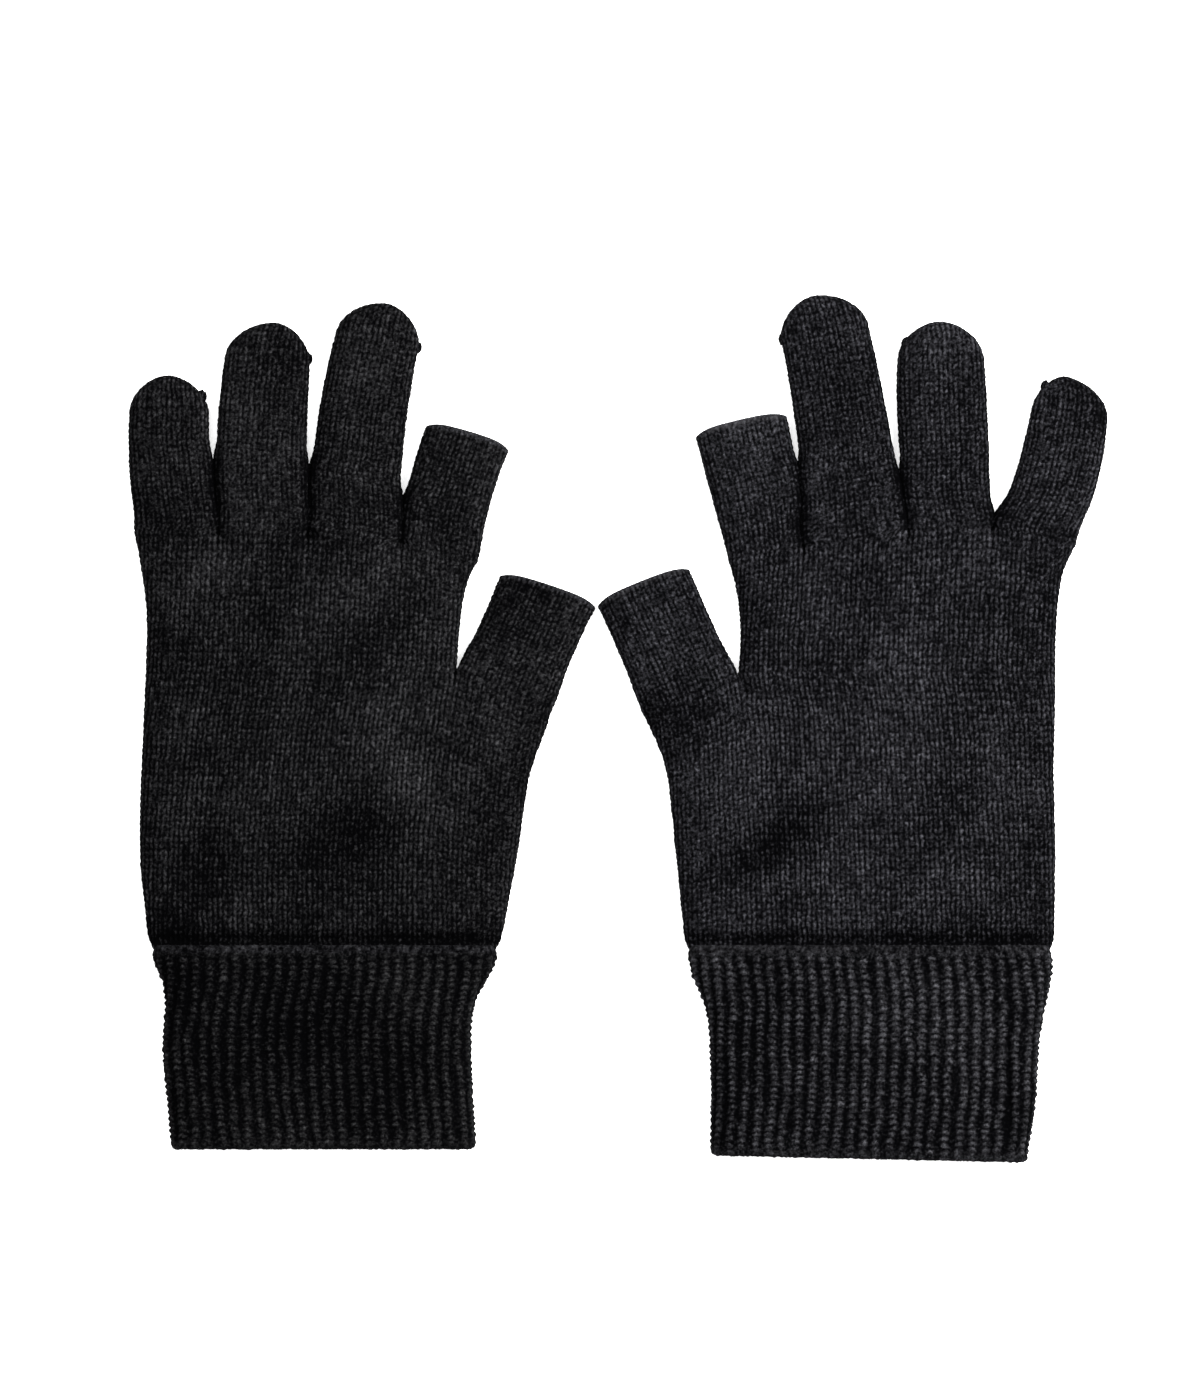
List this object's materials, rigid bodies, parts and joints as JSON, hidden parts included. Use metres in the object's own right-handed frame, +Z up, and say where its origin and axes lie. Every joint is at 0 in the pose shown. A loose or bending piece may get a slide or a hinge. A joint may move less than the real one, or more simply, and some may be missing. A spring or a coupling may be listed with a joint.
{
  "type": "knitted gloves",
  "caption": "Pair of black knitted gloves with turned-back rib cuffs, whole fingers except a half-length, open-ended thumb and index finger.",
  "frame": {"origin": "centre of the laid-out pair, on the surface the gloves lie on", "axes": "+X across the pair from the left glove to the right glove, +Y towards the fingertips, +Z up out of the palms"},
  "size_m": [0.2848, 0.2526, 0.013],
  "materials": {
    "plain_knit": "matte",
    "rib_knit": "matte",
    "finished_rim": "matte",
    "overlock_yarn": "matte",
    "linking_yarn": "matte",
    "elastic_thread": "matte"
  },
  "bodies": {
    "left_little_finger": {"left_little_finger": "plain_knit", "left_little_finger_yarn_knot": "linking_yarn"},
    "left_ring_finger": {"left_ring_finger": "plain_knit", "left_ring_finger_yarn_knot": "linking_yarn"},
    "left_middle_finger": {"left_middle_finger": "plain_knit", "left_middle_finger_yarn_knot": "linking_yarn"},
    "left_index_finger": {"left_index_half_finger": "plain_knit", "left_index_rim": "finished_rim"},
    "left_thumb": {"left_thumb_half_finger": "plain_knit", "left_thumb_rim": "finished_rim"},
    "left_cuff_turn": {"left_cuff_overlock_edge": "overlock_yarn", "left_cuff_turnback": "rib_knit"},
    "left_hand": {"left_cuff_inner_layer": "rib_knit", "left_elastic_thread_1": "elastic_thread", "left_elastic_thread_2": "elastic_thread", "left_elastic_thread_3": "elastic_thread", "left_hand": "plain_knit", "left_little_ring_gusset": "linking_yarn", "left_middle_index_gusset": "linking_yarn", "left_ring_middle_gusset": "linking_yarn"},
    "right_index_finger": {"right_index_half_finger": "plain_knit", "right_index_rim": "finished_rim"},
    "right_middle_finger": {"right_middle_finger": "plain_knit", "right_middle_finger_yarn_knot": "linking_yarn"},
    "right_ring_finger": {"right_ring_finger": "plain_knit", "right_ring_finger_yarn_knot": "linking_yarn"},
    "right_little_finger": {"right_little_finger": "plain_knit", "right_little_finger_yarn_knot": "linking_yarn"},
    "right_thumb": {"right_thumb_half_finger": "plain_knit", "right_thumb_rim": "finished_rim"},
    "right_cuff_turn": {"right_cuff_overlock_edge": "overlock_yarn", "right_cuff_turnback": "rib_knit"},
    "right_hand": {"right_cuff_inner_layer": "rib_knit", "right_elastic_thread_1": "elastic_thread", "right_elastic_thread_2": "elastic_thread", "right_elastic_thread_3": "elastic_thread", "right_hand": "plain_knit", "right_index_middle_gusset": "linking_yarn", "right_middle_ring_gusset": "linking_yarn", "right_ring_little_gusset": "linking_yarn"}
  },
  "joints": [
    {"name": "left_little_bend", "type": "hinge", "parent": "left_hand", "child": "left_little_finger", "pos_m": [-0.1285, 0.0577, 0.008], "axis": [0.9995, 0.033, 0], "range_deg": [0, 70]},
    {"name": "left_ring_bend", "type": "hinge", "parent": "left_hand", "child": "left_ring_finger", "pos_m": [-0.1032, 0.0577, 0.008], "axis": [0.9995, -0.0303, 0], "range_deg": [0, 70]},
    {"name": "left_middle_bend", "type": "hinge", "parent": "left_hand", "child": "left_middle_finger", "pos_m": [-0.0766, 0.0557, 0.008], "axis": [0.9929, -0.1186, 0], "range_deg": [0, 70]},
    {"name": "left_index_bend", "type": "hinge", "parent": "left_hand", "child": "left_index_finger", "pos_m": [-0.05175, 0.05145, 0.008], "axis": [0.9742, -0.2255, 0], "range_deg": [0, 70]},
    {"name": "left_thumb_bend", "type": "hinge", "parent": "left_hand", "child": "left_thumb", "pos_m": [-0.03275, 0.0116, 0.008], "axis": [0.9162, -0.4006, 0], "range_deg": [0, 80]},
    {"name": "left_cuff_unroll", "type": "slide", "parent": "left_hand", "child": "left_cuff_turn", "axis": [0, -1, 0], "range_m": [0, 0.055]},
    {"name": "right_index_bend", "type": "hinge", "parent": "right_hand", "child": "right_index_finger", "pos_m": [0.043, 0.05085, 0.008], "axis": [0.9828, 0.1848, 0], "range_deg": [0, 70]},
    {"name": "right_middle_bend", "type": "hinge", "parent": "right_hand", "child": "right_middle_finger", "pos_m": [0.06915, 0.05525, 0.008], "axis": [0.9883, 0.1523, 0], "range_deg": [0, 70]},
    {"name": "right_ring_bend", "type": "hinge", "parent": "right_hand", "child": "right_ring_finger", "pos_m": [0.0968, 0.05815, 0.008], "axis": [0.999, 0.0443, 0], "range_deg": [0, 70]},
    {"name": "right_little_bend", "type": "hinge", "parent": "right_hand", "child": "right_little_finger", "pos_m": [0.1214, 0.0561, 0.008], "axis": [0.978, -0.2084, 0], "range_deg": [0, 70]},
    {"name": "right_thumb_bend", "type": "hinge", "parent": "right_hand", "child": "right_thumb", "pos_m": [0.0212, 0.01005, 0.008], "axis": [0.9109, 0.4126, 0], "range_deg": [0, 80]},
    {"name": "right_cuff_unroll", "type": "slide", "parent": "right_hand", "child": "right_cuff_turn", "axis": [0, -1, 0], "range_m": [0, 0.055]},
    {"name": "right_glove_apart", "type": "slide", "parent": "left_hand", "child": "right_hand", "axis": [1, 0, 0], "range_m": [0, 0.15]}
  ]
}
